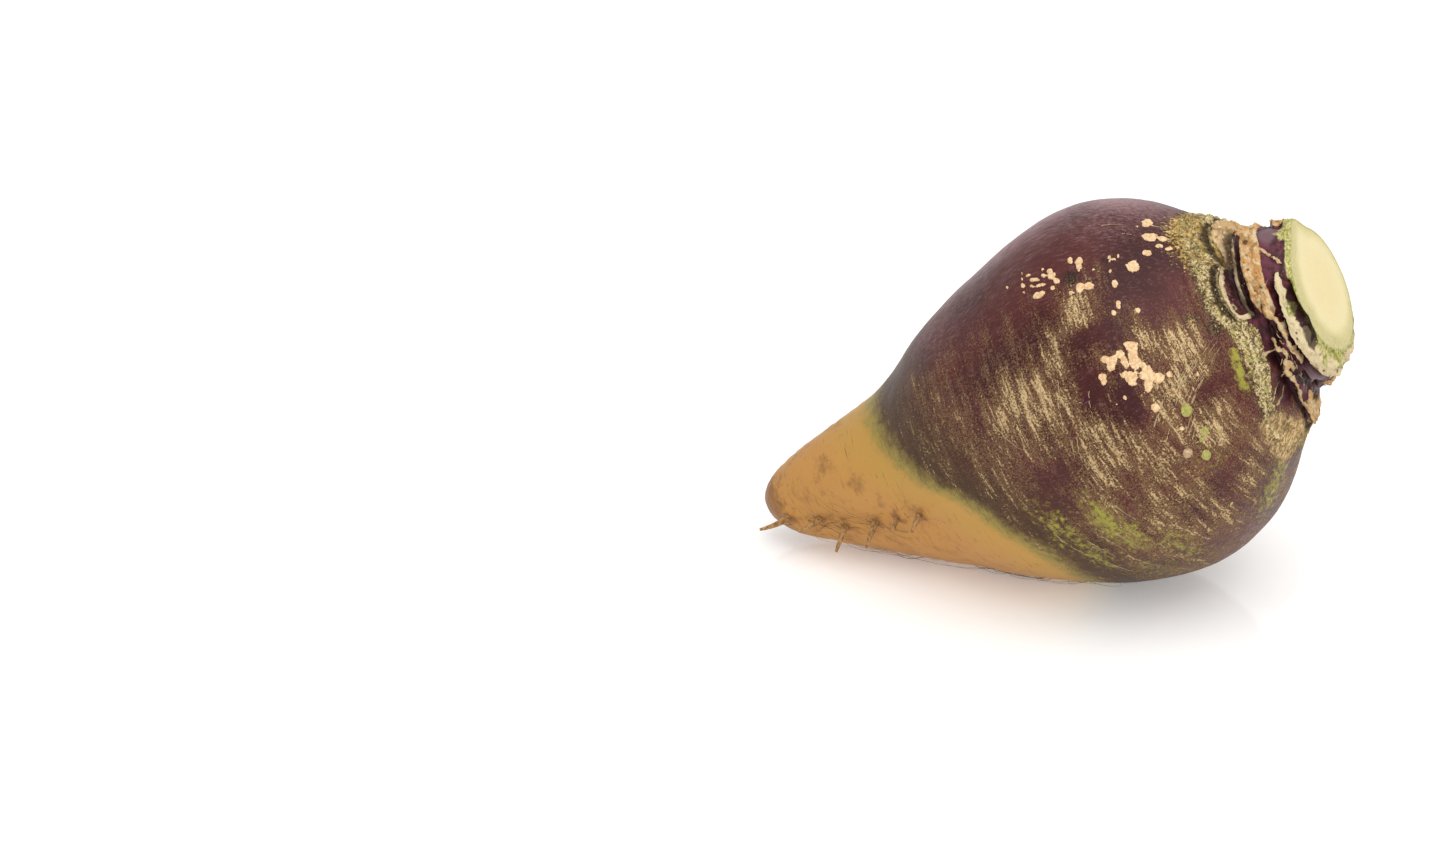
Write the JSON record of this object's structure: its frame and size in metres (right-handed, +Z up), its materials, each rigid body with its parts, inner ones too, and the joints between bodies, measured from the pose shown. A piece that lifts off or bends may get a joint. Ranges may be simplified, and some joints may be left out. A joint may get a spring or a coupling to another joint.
{
  "type": "rutabaga",
  "caption": "Whole rutabaga: a round purple-skinned swollen root tapering to a blunt tap root, with a short cut neck ringed by leaf scars, lying on its side.",
  "frame": {"origin": "middle of the flat spot on the root's underside that it rests on", "axes": "+Z up with the root lying as it rests, +X level and towards the cut crown, +Y completes the right-handed frame and points away from the front"},
  "size_m": [0.1766, 0.1143, 0.1171],
  "materials": {
    "root_skin": "dull, slightly waxy maroon and purple skin with corky tan flecks, cream scabs and leaf scars, and a pale cut crown"
  },
  "bodies": {
    "root": {"rutabaga": "root_skin"}
  },
  "joints": []
}
